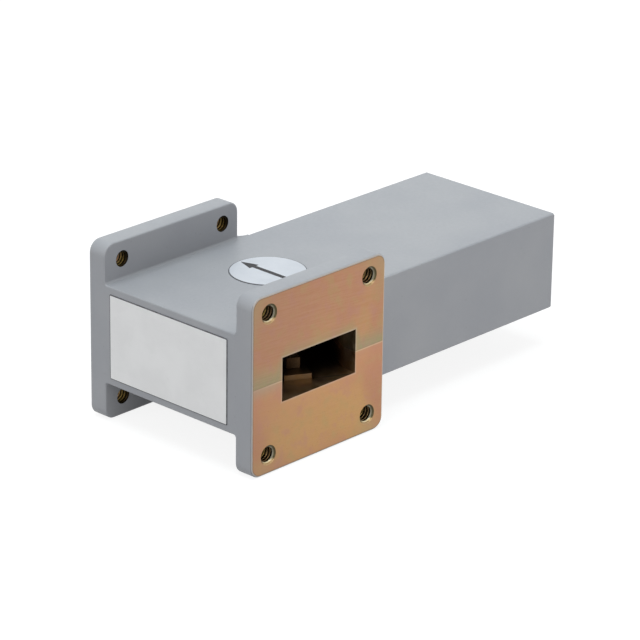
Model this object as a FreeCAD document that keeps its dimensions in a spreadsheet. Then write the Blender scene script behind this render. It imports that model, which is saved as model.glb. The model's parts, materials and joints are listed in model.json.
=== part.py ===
import FreeCAD, Part
import math
import os
import Sketcher

# Waveguide isolator in rectangular guide, built as a split-block ferrite Y junction.
# Two machined halves meet on the middle of the guide's narrow wall. Two arms of the junction
# leave through square flanges, and the third runs on inside the long bar to an absorber.
# The origin is the centre of the input flange's face. +X points out of the input port,
# +Y along the load arm and +Z up.

SIZES = {
    # guide, flanges and bar
    "guide_width": 22.86,
    "guide_height": 10.16,
    "flange_side": 41.4,
    "flange_thickness": 5.0,
    "flange_span": 50.0,
    "flange_corner_radius": 2.8,
    "bar_height": 23.4,
    "bar_reach": 84.3,
    "web_radius": 3.0,
    "root_radius": 0.6,
    "edge_break": 0.4,
    # tapped flange holes
    "hole_spacing_wide": 30.99,
    "hole_spacing_high": 32.51,
    "hole_tap_diameter": 3.454,
    "hole_countersink_diameter": 4.6,
    "hole_countersink_depth": 0.3,
    # junction
    "port_straight_length": 3.4,
    "low_ridge_width": 6.2,
    "low_ridge_height": 1.2,
    "low_ridge_overrun": 0.5,
    "low_step_length": 3.7,
    "high_ridge_width": 3.0,
    "high_ridge_height": 3.6,
    "pedestal_rim": 1.0,
    "ferrite_diameter": 11.0,
    "ferrite_thickness": 1.1,
    "spacer_thickness": 0.76,
    # magnet pockets
    "pocket_clearance": 0.1,
    "magnet_diameter": 15.0,
    "pole_disc_thickness": 0.8,
    "magnet_thickness": 3.0,
    "pocket_cover_thickness": 1.2,
    # load arm
    "load_end_wall": 4.3,
    "load_corner_radius": 3.0,
    "absorber_lead": 5.0,
    "absorber_block_length": 16.0,
    "absorber_tip_thickness": 0.6,
    "absorber_clearance": 0.1,
    # screws and dowels
    "screw_start_margin": 5.3,
    "screw_end_margin": 5.8,
    "screw_diameter": 2.845,
    "screw_length": 12.7,
    "screw_head_diameter": 4.65,
    "screw_head_height": 2.84,
    "screw_head_clearance": 0.3,
    "screw_head_recess": 0.36,
    "screw_key_width": 2.38,
    "screw_key_depth": 1.5,
    "screw_hole_clearance": 0.17,
    "screw_thread_clearance": 0.01,
    "screw_tip_clearance": 1.2,
    "dowel_side_place": 14.0,
    "dowel_diameter": 2.38,
    "dowel_length": 9.5,
    "dowel_clearance": 0.01,
    # labels
    "side_label_length": 36.2,
    "side_label_height": 20.0,
    "side_label_shift": 0.3,
    "arrow_label_diameter": 18.0,
    "arrow_label_shift": 0.9,
    "label_thickness": 0.3,
}

doc = FreeCAD.newDocument("waveguide_isolator")
sheet = doc.addObject("Spreadsheet::Sheet", "Sizes")
for row, (alias, size) in enumerate(SIZES.items(), start=1):
    sheet.set(f"A{row}", alias)
    sheet.set(f"B{row}", str(size))
    sheet.setAlias(f"B{row}", alias)
doc.recompute()

# A Y junction has three equal arms, so each port arm leans 30 degrees off the ports' axis
ARM_COUNT = 3
LEAN_SINE = f"sin({360 / ARM_COUNT - 90} deg)"
LEAN_COSINE = f"cos({360 / ARM_COUNT - 90} deg)"
SCREWS_PER_ROW = 3

# Sizes that follow from those in the sheet. Plan sketches have their zero midway between the flanges
MIDDLE = "-Sizes.flange_span / 2"
HALF_SPAN = "Sizes.flange_span / 2"
HALF_BAR = "(Sizes.flange_span / 2 - Sizes.flange_thickness)"
HALF_FLANGE = "Sizes.flange_side / 2"
HALF_GUIDE = "Sizes.guide_width / 2"
BAR_TOP = "Sizes.bar_height / 2"
GUIDE_TOP = "Sizes.guide_height / 2"
BROW = f"({HALF_BAR} - Sizes.edge_break)"
ARM_START = f"({HALF_FLANGE} - Sizes.edge_break)"
LOAD_END = "(Sizes.bar_reach - Sizes.load_end_wall)"
PORT_BEND = f"({HALF_SPAN} - Sizes.port_straight_length)"
JUNCTION_Y = f"({HALF_GUIDE} - ({HALF_GUIDE} - {LEAN_SINE} * {PORT_BEND}) / {LEAN_COSINE})"
LOW_REACH = f"({JUNCTION_Y} / {LEAN_SINE} + Sizes.low_ridge_overrun)"
HIGH_REACH = f"({LOW_REACH} - Sizes.low_step_length)"
FERRITE_FACE = "(Sizes.spacer_thickness / 2)"
PEDESTAL_TOP = f"({FERRITE_FACE} + Sizes.ferrite_thickness)"
STACK = ("pole_disc", "magnet", "pocket_cover")
STACK_HEIGHT = "(" + " + ".join(f"Sizes.{name}_thickness" for name in STACK) + ")"
COUNTERBORE_DEPTH = "(Sizes.screw_head_height + Sizes.screw_head_recess)"
WALL_ROW = f"({HALF_GUIDE} + {HALF_BAR}) / 2"
FRONT_ROW = f"-({HALF_GUIDE} + {HALF_FLANGE}) / 2"
FIRST_SCREW = f"({HALF_FLANGE} + Sizes.screw_start_margin)"
SCREW_PITCH = f"((Sizes.bar_reach - Sizes.screw_end_margin - {FIRST_SCREW}) / {SCREWS_PER_ROW - 1})"
SCREW_PLACES = [
    (f"{side}{WALL_ROW}", f"{FIRST_SCREW} + {number} * {SCREW_PITCH}")
    for side in ("", "-")
    for number in range(SCREWS_PER_ROW)
] + [("0", FRONT_ROW)]
DOWEL_PLACES = [
    ("-Sizes.dowel_side_place", FRONT_ROW),
    (WALL_ROW, f"{FIRST_SCREW} + {SCREW_PITCH} * 3 / 2"),
]


def value_of(expression):
    return float(sheet.evalExpression(expression))


def new_body(label):
    body = doc.addObject("PartDesign::Body", label)
    body.Label = label
    return body


def new_sketch(body, name, role, offset=("0", "0", "0")):
    """Sketch on one of the body's origin planes, moved by three expressions in its own axes."""
    plane = next(item for item in body.Origin.OriginFeatures if item.Role == role)
    sketch = body.newObject("Sketcher::SketchObject", f"{body.Label}_{name}")
    sketch.AttachmentSupport = [(plane, "")]
    sketch.MapMode = "FlatFace"
    for axis, expression in zip("xyz", offset):
        sketch.setExpression(f"AttachmentOffset.Base.{axis}", expression)
    return sketch


def constrain(sketch, constraint, expression):
    index = sketch.addConstraint(constraint)
    sketch.setExpression(f"Constraints[{index}]", expression)


def hold_point(sketch, side, end, x, y):
    """Fix one point of a side of the sketch at two expressions."""
    constrain(sketch, Sketcher.Constraint("DistanceX", -1, 1, side, end, value_of(x)), x)
    constrain(sketch, Sketcher.Constraint("DistanceY", -1, 1, side, end, value_of(y)), y)


def arc_between(start, end, centre):
    """Arc of less than half a turn, and whether it runs from start to end or back."""
    start_angle = math.atan2(start.y - centre.y, start.x - centre.x)
    end_angle = math.atan2(end.y - centre.y, end.x - centre.x)
    forward = (end_angle - start_angle) % math.tau < math.pi
    if not forward:
        start_angle, end_angle = end_angle, start_angle
    circle = Part.Circle(centre, FreeCAD.Vector(0, 0, 1), (start - centre).Length)
    return Part.ArcOfCircle(circle, start_angle, end_angle), forward


def draw_outline(sketch, corners, arcs=None):
    """Closed outline through corners given as pairs of expressions.

    arcs gives the centre and radius of each side that is an arc, by the number of the corner
    that it starts from. Every other side is straight.
    """
    arcs = arcs or {}
    points = [FreeCAD.Vector(value_of(x), value_of(y), 0) for x, y in corners]
    starts = []
    ends = []
    for number, start in enumerate(points):
        end = points[(number + 1) % len(points)]
        forward = True
        line = Part.LineSegment(start, end)
        if number in arcs:
            centre_x, centre_y, _ = arcs[number]
            centre = FreeCAD.Vector(value_of(centre_x), value_of(centre_y), 0)
            line, forward = arc_between(start, end, centre)
        side = sketch.addGeometry(line, False)
        starts.append((side, 1 if forward else 2))
        ends.append((side, 2 if forward else 1))
    for number, (x, y) in enumerate(corners):
        sketch.addConstraint(Sketcher.Constraint("Coincident", *ends[number - 1], *starts[number]))
        hold_point(sketch, *starts[number], x, y)
    for number, (_, _, radius) in arcs.items():
        side = starts[number][0]
        constrain(sketch, Sketcher.Constraint("Radius", side, value_of(radius)), radius)


def draw_rectangle(sketch, left, right, bottom, top):
    draw_outline(sketch, [(left, bottom), (right, bottom), (right, top), (left, top)])


def draw_arch(sketch, half_width, top, radius, up, rounded=True):
    """Outline that stands on the seam, with its two outer corners rounded or cut at 45 degrees."""
    shoulder = f"({half_width} - {radius})"
    crown = f"{up} * ({top} - {radius})"
    corners = [
        (f"-{half_width}", "0"),
        (half_width, "0"),
        (half_width, crown),
        (shoulder, f"{up} * {top}"),
        (f"-{shoulder}", f"{up} * {top}"),
        (f"-{half_width}", crown),
    ]
    arcs = {2: (shoulder, crown, radius), 4: (f"-{shoulder}", crown, radius)}
    draw_outline(sketch, corners, arcs if rounded else None)


def draw_circle(sketch, x, y, diameter):
    centre = FreeCAD.Vector(value_of(x), value_of(y), 0)
    size = value_of(diameter)
    circle = sketch.addGeometry(Part.Circle(centre, FreeCAD.Vector(0, 0, 1), size / 2), False)
    hold_point(sketch, circle, 3, x, y)
    constrain(sketch, Sketcher.Constraint("Diameter", circle, size), diameter)


def extrude(body, kind, sketch, length, reverse=False):
    """Pad or Pocket of a sketch. A pad runs along the sketch's normal and a pocket against it."""
    feature = body.newObject(f"PartDesign::{kind}", f"{sketch.Name}_{kind.lower()}")
    feature.Profile = sketch
    feature.Reversed = reverse
    feature.setExpression("Length", length)
    return feature


def dress_edges(body, kind, name, chosen, size):
    """Fillet or Chamfer on those edges of the body so far that chosen accepts."""
    doc.recompute()
    base = body.Tip
    edges = [f"Edge{number}" for number, edge in enumerate(base.Shape.Edges, 1) if chosen(edge)]
    feature = body.newObject(f"PartDesign::{kind}", f"{body.Label}_{name}")
    feature.Base = (base, edges)
    feature.setExpression("Radius" if kind == "Fillet" else "Size", size)
    return feature


def same(first, second):
    return abs(first - second) < 1e-6


def lies_in(edge, axis, *levels):
    """Whether the whole edge lies in one of the planes that cross the axis at these levels."""
    low = getattr(edge.BoundBox, f"{axis}Min")
    high = getattr(edge.BoundBox, f"{axis}Max")
    return any(same(low, level) and same(high, level) for level in levels)


def flange_planes():
    """Places along X of the flanges' outer faces and of their inner faces."""
    span = value_of("Sizes.flange_span")
    thickness = value_of("Sizes.flange_thickness")
    return (0.0, -span), (-thickness, thickness - span)


def add_flanges(body, up):
    """Waist between the ports, with a square half flange on each end of it."""
    waist = new_sketch(body, "waist", "XY_Plane", (MIDDLE, "0", "0"))
    draw_rectangle(waist, f"-{HALF_BAR}", HALF_BAR, f"-{HALF_FLANGE}", HALF_FLANGE)
    extrude(body, "Pad", waist, BAR_TOP, up < 0)
    for name, face in (("input_flange", "0"), ("output_flange", "-Sizes.flange_span")):
        plate = new_sketch(body, name, "YZ_Plane", ("0", "0", face))
        draw_arch(plate, HALF_FLANGE, HALF_FLANGE, "Sizes.flange_corner_radius", up)
        extrude(body, "Pad", plate, "Sizes.flange_thickness", name == "input_flange")

    outer, inner = flange_planes()
    face = up * value_of(BAR_TOP)
    side = value_of(HALF_FLANGE)

    def is_root(edge):
        return lies_in(edge, "Z", face) and lies_in(edge, "X", *inner)

    def is_rim(edge):
        return lies_in(edge, "X", *outer) and not lies_in(edge, "Z", 0)

    def is_waist_rim(edge):
        return lies_in(edge, "Z", face) and lies_in(edge, "Y", side, -side)

    dress_edges(body, "Fillet", "flange_roots", is_root, "Sizes.root_radius")
    dress_edges(body, "Chamfer", "flange_rims", is_rim, "Sizes.edge_break")
    dress_edges(body, "Chamfer", "waist_rims", is_waist_rim, "Sizes.edge_break")


def add_load_arm(body, up):
    """Long bar with broken edges, and a web in each corner where it leaves the flanges."""
    arm = new_sketch(body, "arm", "XZ_Plane", (MIDDLE, "0", f"-{ARM_START}"))
    draw_arch(arm, HALF_BAR, BAR_TOP, "Sizes.edge_break", up, rounded=False)
    extrude(body, "Pad", arm, f"Sizes.bar_reach - {ARM_START}", True)
    reach = value_of("Sizes.bar_reach")

    def is_end_rim(edge):
        return lies_in(edge, "Y", reach) and not lies_in(edge, "Z", 0)

    dress_edges(body, "Chamfer", "arm_end_rim", is_end_rim, "Sizes.edge_break")
    webs = new_sketch(body, "webs", "XY_Plane", (MIDDLE, "0", "0"))
    radius = "min(Sizes.web_radius; Sizes.flange_thickness - Sizes.edge_break)"
    heel = f"{HALF_FLANGE} + {radius}"
    for side in ("", "-"):
        toe = f"{side}({HALF_BAR} + {radius})"
        corners = [
            (f"{side}{BROW}", ARM_START),
            (toe, ARM_START),
            (toe, HALF_FLANGE),
            (f"{side}{HALF_BAR}", heel),
            (f"{side}{BROW}", heel),
        ]
        draw_outline(webs, corners, {2: (toe, heel, radius)})
    extrude(body, "Pad", webs, BAR_TOP, up < 0)


def cut_guide(body, up):
    """Two ports on one axis that bend into the Y junction, and the load arm's closed end."""
    front_bend = f"({LEAN_COSINE} * ({HALF_GUIDE} + {JUNCTION_Y}) - {HALF_GUIDE}) / {LEAN_SINE}"
    crotch = f"{JUNCTION_Y} + {HALF_GUIDE} * (1 - {LEAN_SINE}) / {LEAN_COSINE}"
    apex = f"{JUNCTION_Y} - {HALF_GUIDE} / {LEAN_COSINE}"
    guide = new_sketch(body, "guide", "XY_Plane", (MIDDLE, "0", "0"))
    corners = [
        (HALF_SPAN, f"-{HALF_GUIDE}"),
        (HALF_SPAN, HALF_GUIDE),
        (PORT_BEND, HALF_GUIDE),
        (HALF_GUIDE, crotch),
        (HALF_GUIDE, LOAD_END),
        (f"-{HALF_GUIDE}", LOAD_END),
        (f"-{HALF_GUIDE}", crotch),
        (f"-{PORT_BEND}", HALF_GUIDE),
        (f"-{HALF_SPAN}", HALF_GUIDE),
        (f"-{HALF_SPAN}", f"-{HALF_GUIDE}"),
        (f"-({front_bend})", f"-{HALF_GUIDE}"),
        ("0", apex),
        (front_bend, f"-{HALF_GUIDE}"),
    ]
    draw_outline(guide, corners)
    extrude(body, "Pocket", guide, GUIDE_TOP, up > 0)
    load_end = value_of(LOAD_END)

    def is_end_corner(edge):
        return lies_in(edge, "Y", load_end) and same(edge.BoundBox.XLength, 0)

    dress_edges(body, "Fillet", "load_corners", is_end_corner, "Sizes.load_corner_radius")


def add_ridges(body, up):
    """Stepped ridges along the three arms, which match the guide to the low junction."""
    centre = (MIDDLE, JUNCTION_Y, f"{up} * {GUIDE_TOP}")
    rim = "(Sizes.ferrite_diameter + Sizes.pedestal_rim) / 2"
    for step, start, reach in (("low", "0", LOW_REACH), ("high", rim, HIGH_REACH)):
        ridge = new_sketch(body, f"{step}_ridge", "XY_Plane", centre)
        half_width = f"Sizes.{step}_ridge_width / 2"
        draw_rectangle(ridge, f"-{half_width}", half_width, start, reach)
        pad = extrude(body, "Pad", ridge, f"Sizes.{step}_ridge_height", up > 0)
        pattern = body.newObject("PartDesign::PolarPattern", f"{body.Label}_{step}_ridges")
        pattern.Originals = [pad]
        pattern.Axis = (ridge, ["N_Axis"])
        pattern.Angle = 360
        pattern.Occurrences = ARM_COUNT
        body.Tip = pattern
        if step == "low":
            pedestal = new_sketch(body, "pedestal", "XY_Plane", centre)
            draw_circle(pedestal, "0", "0", "Sizes.ferrite_diameter + 2 * Sizes.pedestal_rim")
            extrude(body, "Pad", pedestal, f"{GUIDE_TOP} - {PEDESTAL_TOP}", up > 0)


def cut_magnet_pocket(body, up):
    """Round pocket from outside, down to a thin floor over the guide."""
    pocket = new_sketch(body, "magnet_pocket", "XY_Plane", (MIDDLE, JUNCTION_Y, f"{up} * {BAR_TOP}"))
    draw_circle(pocket, "0", "0", "Sizes.magnet_diameter + 2 * Sizes.pocket_clearance")
    extrude(body, "Pocket", pocket, STACK_HEIGHT, up < 0)


def cut_screw_holes(body, up):
    """Counterbored holes through the lower half, or blind tapped holes in the upper half."""
    holes = new_sketch(body, "screw_holes", "XY_Plane", (MIDDLE, "0", "0"))
    clearance = "Sizes.screw_thread_clearance" if up > 0 else "Sizes.screw_hole_clearance"
    for x, y in SCREW_PLACES:
        draw_circle(holes, x, y, f"Sizes.screw_diameter + 2 * {clearance}")
    if up > 0:
        depth = f"Sizes.screw_length - {BAR_TOP} + {COUNTERBORE_DEPTH} + Sizes.screw_tip_clearance"
        extrude(body, "Pocket", holes, depth, True)
    else:
        extrude(body, "Pocket", holes, BAR_TOP)
        heads = new_sketch(body, "counterbores", "XY_Plane", (MIDDLE, "0", f"-{BAR_TOP}"))
        for x, y in SCREW_PLACES:
            draw_circle(heads, x, y, "Sizes.screw_head_diameter + 2 * Sizes.screw_head_clearance")
        extrude(body, "Pocket", heads, COUNTERBORE_DEPTH, True)
    dowels = new_sketch(body, "dowel_holes", "XY_Plane", (MIDDLE, "0", "0"))
    for x, y in DOWEL_PLACES:
        draw_circle(dowels, x, y, "Sizes.dowel_diameter + 2 * Sizes.dowel_clearance")
    extrude(body, "Pocket", dowels, "Sizes.dowel_length / 2 + Sizes.dowel_clearance", up > 0)


def cut_flange_holes(body, up):
    """Holes for tapping, turned through both flanges in line and countersunk on the outer faces."""
    wall = "Sizes.hole_tap_diameter / 2"
    mouth = "Sizes.hole_countersink_diameter / 2"
    height = f"{up} * Sizes.hole_spacing_high / 2"
    for name, side in (("load", ""), ("label", "-")):
        middle = f"{side}Sizes.hole_spacing_wide / 2"
        profile = new_sketch(body, f"{name}_side_holes", "XY_Plane", ("0", middle, height))
        for outer, inward in (("0", "-"), ("-Sizes.flange_span", "+")):
            inner = f"{outer} {inward} Sizes.flange_thickness"
            corners = [
                (outer, "0"),
                (outer, mouth),
                (f"{outer} {inward} Sizes.hole_countersink_depth", wall),
                (inner, wall),
                (inner, "0"),
            ]
            draw_outline(profile, corners)
        groove = body.newObject("PartDesign::Groove", f"{profile.Name}_groove")
        groove.Profile = profile
        groove.ReferenceAxis = (profile, ["H_Axis"])
        groove.Angle = 360


def build_half(label, up):
    """One machined half of the split body. up is 1 for the upper half and -1 for the lower."""
    body = new_body(label)
    add_flanges(body, up)
    add_load_arm(body, up)
    cut_guide(body, up)
    add_ridges(body, up)
    cut_magnet_pocket(body, up)
    cut_screw_holes(body, up)
    cut_flange_holes(body, up)
    return body


def place(item, x, y, z):
    for axis, expression in zip("xyz", (x, y, z)):
        item.setExpression(f"Placement.Base.{axis}", expression)


def build_disc(label, diameter, thickness, bottom, x=MIDDLE, y=JUNCTION_Y):
    disc = doc.addObject("Part::Cylinder", label)
    disc.Label = label
    disc.setExpression("Radius", f"{diameter} / 2")
    disc.setExpression("Height", thickness)
    place(disc, x, y, bottom)
    return disc


def build_ferrites():
    """Ferrite disc on each pedestal, with a dielectric spacer between the two."""
    ferrite = ("Sizes.ferrite_diameter", "Sizes.ferrite_thickness")
    return [
        build_disc("upper_ferrite", *ferrite, FERRITE_FACE),
        build_disc("lower_ferrite", *ferrite, f"-{PEDESTAL_TOP}"),
        build_disc("ferrite_spacer", "Sizes.ferrite_diameter", "Sizes.spacer_thickness", f"-{FERRITE_FACE}"),
    ]


def build_magnet_stacks():
    """Discs in both pockets, from the pocket's floor outwards."""
    discs = []
    level = f"({BAR_TOP} - {STACK_HEIGHT})"
    for name in STACK:
        thickness = f"Sizes.{name}_thickness"
        top = f"({level} + {thickness})"
        discs.append(build_disc(f"upper_{name}", "Sizes.magnet_diameter", thickness, level))
        discs.append(build_disc(f"lower_{name}", "Sizes.magnet_diameter", thickness, f"-{top}"))
        level = top
    return discs


def build_absorber(label, up):
    """Wedge of absorbing material, bonded to the guide's wide wall at the end of the load arm."""
    body = new_body(label)
    wall = f"{up} * {GUIDE_TOP}"
    face = f"{up} * Sizes.absorber_clearance"
    back = f"{LOAD_END} - Sizes.absorber_clearance"
    tip = f"{JUNCTION_Y} + {LOW_REACH} + Sizes.absorber_lead"
    side = new_sketch(body, "side", "YZ_Plane", ("0", "0", MIDDLE))
    corners = [
        (tip, wall),
        (back, wall),
        (back, face),
        (f"{back} - Sizes.absorber_block_length", face),
        (tip, f"{up} * ({GUIDE_TOP} - Sizes.absorber_tip_thickness)"),
    ]
    draw_outline(side, corners)
    wedge = extrude(body, "Pad", side, "Sizes.guide_width - 2 * Sizes.absorber_clearance")
    wedge.Midplane = True
    end = value_of(back)

    def is_back_corner(edge):
        return lies_in(edge, "Y", end) and same(edge.BoundBox.XLength, 0)

    dress_edges(body, "Fillet", "back_corners", is_back_corner, "Sizes.load_corner_radius")
    return body


def build_turned_piece(label, outline):
    """Piece turned about the Z axis, from an outline of radius and height expressions."""
    body = new_body(label)
    profile = new_sketch(body, "profile", "XZ_Plane")
    draw_outline(profile, outline)
    turning = body.newObject("PartDesign::Revolution", f"{label}_turning")
    turning.Profile = profile
    turning.ReferenceAxis = (profile, ["V_Axis"])
    turning.Angle = 360
    return body


def repeat(label, pattern, places):
    """Group of separate copies of one piece."""
    copies = []
    for number, spot in enumerate(places, 1):
        copy = doc.addObject("App::Link", f"{label}_{number}")
        copy.LinkedObject = pattern
        place(copy, *spot)
        copies.append(copy)
    group = doc.addObject("Part::Compound", label)
    group.Label = label
    group.Links = copies
    return group


def build_screws():
    """Socket head screws, heads down in their counterbores. The pattern piece seats at zero height."""
    shank = "Sizes.screw_diameter / 2"
    head = "Sizes.screw_head_diameter / 2"
    outline = [
        ("0", "-Sizes.screw_head_height"),
        (head, "-Sizes.screw_head_height"),
        (head, "0"),
        (shank, "0"),
        (shank, "Sizes.screw_length"),
        ("0", "Sizes.screw_length"),
    ]
    screw = build_turned_piece("cap_screw", outline)
    socket = new_sketch(screw, "socket", "XY_Plane", ("0", "0", "-Sizes.screw_head_height"))
    corner = "Sizes.screw_key_width / sqrt(3)"
    hexagon = [(f"{corner} * cos({turn} deg)", f"{corner} * sin({turn} deg)") for turn in range(0, 360, 60)]
    draw_outline(socket, hexagon)
    extrude(screw, "Pocket", socket, "Sizes.screw_key_depth", True)
    seat = f"{COUNTERBORE_DEPTH} - {BAR_TOP}"
    return repeat("assembly_screws", screw, [(f"{MIDDLE} + {x}", y, seat) for x, y in SCREW_PLACES])


def build_dowels():
    """Plain dowels, centred on the seam."""
    dowel = doc.addObject("Part::Cylinder", "dowel")
    dowel.setExpression("Radius", "Sizes.dowel_diameter / 2")
    dowel.setExpression("Height", "Sizes.dowel_length")
    bottom = "-Sizes.dowel_length / 2"
    return repeat("dowel_pins", dowel, [(f"{MIDDLE} + {x}", y, bottom) for x, y in DOWEL_PLACES])


def build_side_label():
    """Film label on the narrow face between the flanges."""
    label = doc.addObject("Part::Box", "side_label")
    label.Label = "side_label"
    label.setExpression("Length", "Sizes.side_label_length")
    label.setExpression("Width", "Sizes.label_thickness")
    label.setExpression("Height", "Sizes.side_label_height")
    place(
        label,
        f"{MIDDLE} - Sizes.side_label_shift - Sizes.side_label_length / 2",
        f"-{HALF_FLANGE} - Sizes.label_thickness",
        "-Sizes.side_label_height / 2",
    )
    return label


def build_arrow_label():
    """Round film label over the upper magnet pocket."""
    centre = f"{MIDDLE} - Sizes.arrow_label_shift"
    return build_disc("arrow_label", "Sizes.arrow_label_diameter", "Sizes.label_thickness", BAR_TOP, centre)


parts = [
    build_half("upper_half", 1),
    build_half("lower_half", -1),
    *build_ferrites(),
    *build_magnet_stacks(),
    build_absorber("upper_absorber", 1),
    build_absorber("lower_absorber", -1),
    build_screws(),
    build_dowels(),
    build_side_label(),
    build_arrow_label(),
]

doc.recompute()
for item in doc.Objects:
    if "Invalid" in item.State or "Error" in item.State:
        raise RuntimeError(f"{item.Label} did not build: {item.State}")
for piece in parts:
    if piece.Shape.isNull() or not piece.Shape.isValid():
        raise RuntimeError(f"{piece.Label} has no valid shape")

os.makedirs("parts", exist_ok=True)
for piece in parts:
    piece.Shape.exportStep(f"parts/{piece.Label}.step")
    print(piece.Label, len(piece.Shape.Solids), round(piece.Shape.Volume, 1))
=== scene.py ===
import json
import math

import bmesh
import bpy
from mathutils import Matrix, Vector


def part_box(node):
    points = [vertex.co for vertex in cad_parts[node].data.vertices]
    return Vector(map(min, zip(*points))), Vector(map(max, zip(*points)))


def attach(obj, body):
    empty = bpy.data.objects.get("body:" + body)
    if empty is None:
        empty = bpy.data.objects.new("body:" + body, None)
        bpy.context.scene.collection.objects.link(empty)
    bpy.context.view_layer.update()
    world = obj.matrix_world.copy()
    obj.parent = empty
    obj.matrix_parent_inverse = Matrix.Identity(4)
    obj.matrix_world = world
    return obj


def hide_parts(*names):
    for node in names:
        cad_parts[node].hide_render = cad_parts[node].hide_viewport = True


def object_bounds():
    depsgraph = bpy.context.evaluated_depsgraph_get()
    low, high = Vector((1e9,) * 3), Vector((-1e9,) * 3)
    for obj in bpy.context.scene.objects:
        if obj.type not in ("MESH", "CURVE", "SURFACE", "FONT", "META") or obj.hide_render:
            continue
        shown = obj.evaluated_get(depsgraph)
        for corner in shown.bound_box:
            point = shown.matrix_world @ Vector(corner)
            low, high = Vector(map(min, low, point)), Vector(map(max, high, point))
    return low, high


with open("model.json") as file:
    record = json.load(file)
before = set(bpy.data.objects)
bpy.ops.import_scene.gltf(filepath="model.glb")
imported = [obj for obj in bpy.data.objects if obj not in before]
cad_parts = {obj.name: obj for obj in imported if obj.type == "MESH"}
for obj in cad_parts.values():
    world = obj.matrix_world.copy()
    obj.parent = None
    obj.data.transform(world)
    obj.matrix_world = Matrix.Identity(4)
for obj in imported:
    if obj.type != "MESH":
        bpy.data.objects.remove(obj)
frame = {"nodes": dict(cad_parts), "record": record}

cad_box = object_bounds()
MM = 0.001

# Split body
# Two halves milled from aluminium bar that meet on the middle of the guide's narrow wall. The
# outside has a blue-grey enamel. The flanges' mating faces, the threads and the guide are bare
# metal with a yellow chromate film, and the eight flange holes are tapped through 5 mm.
hole_pattern = frame["record"]["mounts"][0]["dims"]
FLANGE_SPAN = cad_box[1][0] - cad_box[0][0]
FLANGE_THICKNESS = 5.0 * MM
FLANGE_HALF = cad_box[1][2]
FLANGE_CORNER = 2.8 * MM
EDGE_BREAK = 0.4 * MM
BAR_HALF_HEIGHT = 11.7 * MM
MIDDLE_X = -FLANGE_SPAN / 2
HOLE_Y = hole_pattern["spacing_x_mm"] / 2 * MM
HOLE_Z = hole_pattern["spacing_y_mm"] / 2 * MM
TAP_RADIUS = hole_pattern["hole_r_mm"] * MM
GUIDE_HALF_WIDTH = 11.43 * MM
GUIDE_HALF_HEIGHT = 5.08 * MM
LOW_RIDGE_END = 16.55 * MM
HIGH_RIDGE_END = 12.85 * MM
HIGH_RIDGE_TOP = -1.48 * MM
ARM_TURN = math.radians(30)


def take_only(piece):
    """Select one object and make it the active one."""
    bpy.ops.object.select_all(action="DESELECT")
    piece.select_set(True)
    bpy.context.view_layer.objects.active = piece


def open_to_edit(piece):
    """Edit one object, with all of its mesh selected."""
    take_only(piece)
    bpy.ops.object.mode_set(mode="EDIT")
    bpy.ops.mesh.select_all(action="SELECT")


def close_edit():
    """Leave edit mode."""
    bpy.ops.object.mode_set(mode="OBJECT")


def pick(piece, kind, accepts):
    """In edit mode, select only the edges or faces that accepts says yes to."""
    bpy.ops.mesh.select_mode(type=kind)
    bpy.ops.mesh.select_all(action="DESELECT")
    grid = bmesh.from_edit_mesh(piece.data)
    for part in {"EDGE": grid.edges, "FACE": grid.faces}[kind]:
        if accepts(part):
            part.select_set(True)
    grid.select_flush_mode()
    bmesh.update_edit_mesh(piece.data)


def apply_all(piece):
    """Apply the object's modifiers in turn, then its place, turn and size."""
    take_only(piece)
    for modifier in list(piece.modifiers):
        bpy.ops.object.modifier_apply(modifier=modifier.name)
    bpy.ops.object.transform_apply(location=True, rotation=True, scale=True)


def soften(piece, angle=50):
    """Smooth shading inside the angle, with flat faces kept flat up to their rounded edges."""
    take_only(piece)
    bpy.ops.object.shade_smooth_by_angle(angle=math.radians(angle))
    weights = piece.modifiers.new("flat_faces", "WEIGHTED_NORMAL")
    weights.keep_sharp = True
    weights.weight = 100
    bpy.ops.object.modifier_apply(modifier=weights.name)


def mm(size):
    """A size in the millimetres that the finishes' patterns are laid out in."""
    return size / MM


def feed(tree, socket, source):
    """Link a source socket to a socket, or set the socket to a plain value."""
    if isinstance(source, bpy.types.NodeSocket):
        tree.links.new(source, socket)
    else:
        socket.default_value = source


def put(tree, kind, sockets=None, **settings):
    """Add a shader node with these settings, and feed its named sockets."""
    node = tree.nodes.new(kind)
    for name, value in settings.items():
        setattr(node, name, value)
    for name, source in (sockets or {}).items():
        feed(tree, node.inputs[name], source)
    return node


def work(tree, operation, *sources):
    """Result of one Math node."""
    node = put(tree, "ShaderNodeMath", operation=operation)
    for socket, source in zip(node.inputs, sources):
        feed(tree, socket, source)
    return node.outputs["Value"]


def work_vector(tree, operation, *sources):
    """Result of one Vector Math node, a plain number for a length and a vector otherwise."""
    node = put(tree, "ShaderNodeVectorMath", dict(enumerate(sources)), operation=operation)
    return node.outputs["Value" if operation == "LENGTH" else "Vector"]


def masked(tree, amount, *masks):
    """Amount multiplied by each mask in turn."""
    for mask in masks:
        amount = work(tree, "MULTIPLY", amount, mask)
    return amount


def off_plane(tree, source, plane):
    """How far a coordinate is from a plane, to either side of it."""
    return work(tree, "ABSOLUTE", work(tree, "SUBTRACT", source, plane))


def diagonal(tree, first, second):
    """Length across two sides that are square to each other."""
    squares = [work(tree, "POWER", side, 2.0) for side in (first, second)]
    return work(tree, "SQRT", work(tree, "ADD", *squares))


def between(tree, source, low, high, start=0.0, end=1.0):
    """Source mapped smoothly from the range low to high to the range start to end."""
    sockets = {"Value": source, "From Min": low, "From Max": high, "To Min": start, "To Max": end}
    return put(tree, "ShaderNodeMapRange", sockets, interpolation_type="SMOOTHSTEP").outputs["Result"]


def tint(tree, amount, first, second, way="MIX"):
    """Colour between first and second by amount."""
    sockets = {"Fac": amount, "Color1": first, "Color2": second}
    return put(tree, "ShaderNodeMixRGB", sockets, blend_type=way).outputs["Color"]


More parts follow.
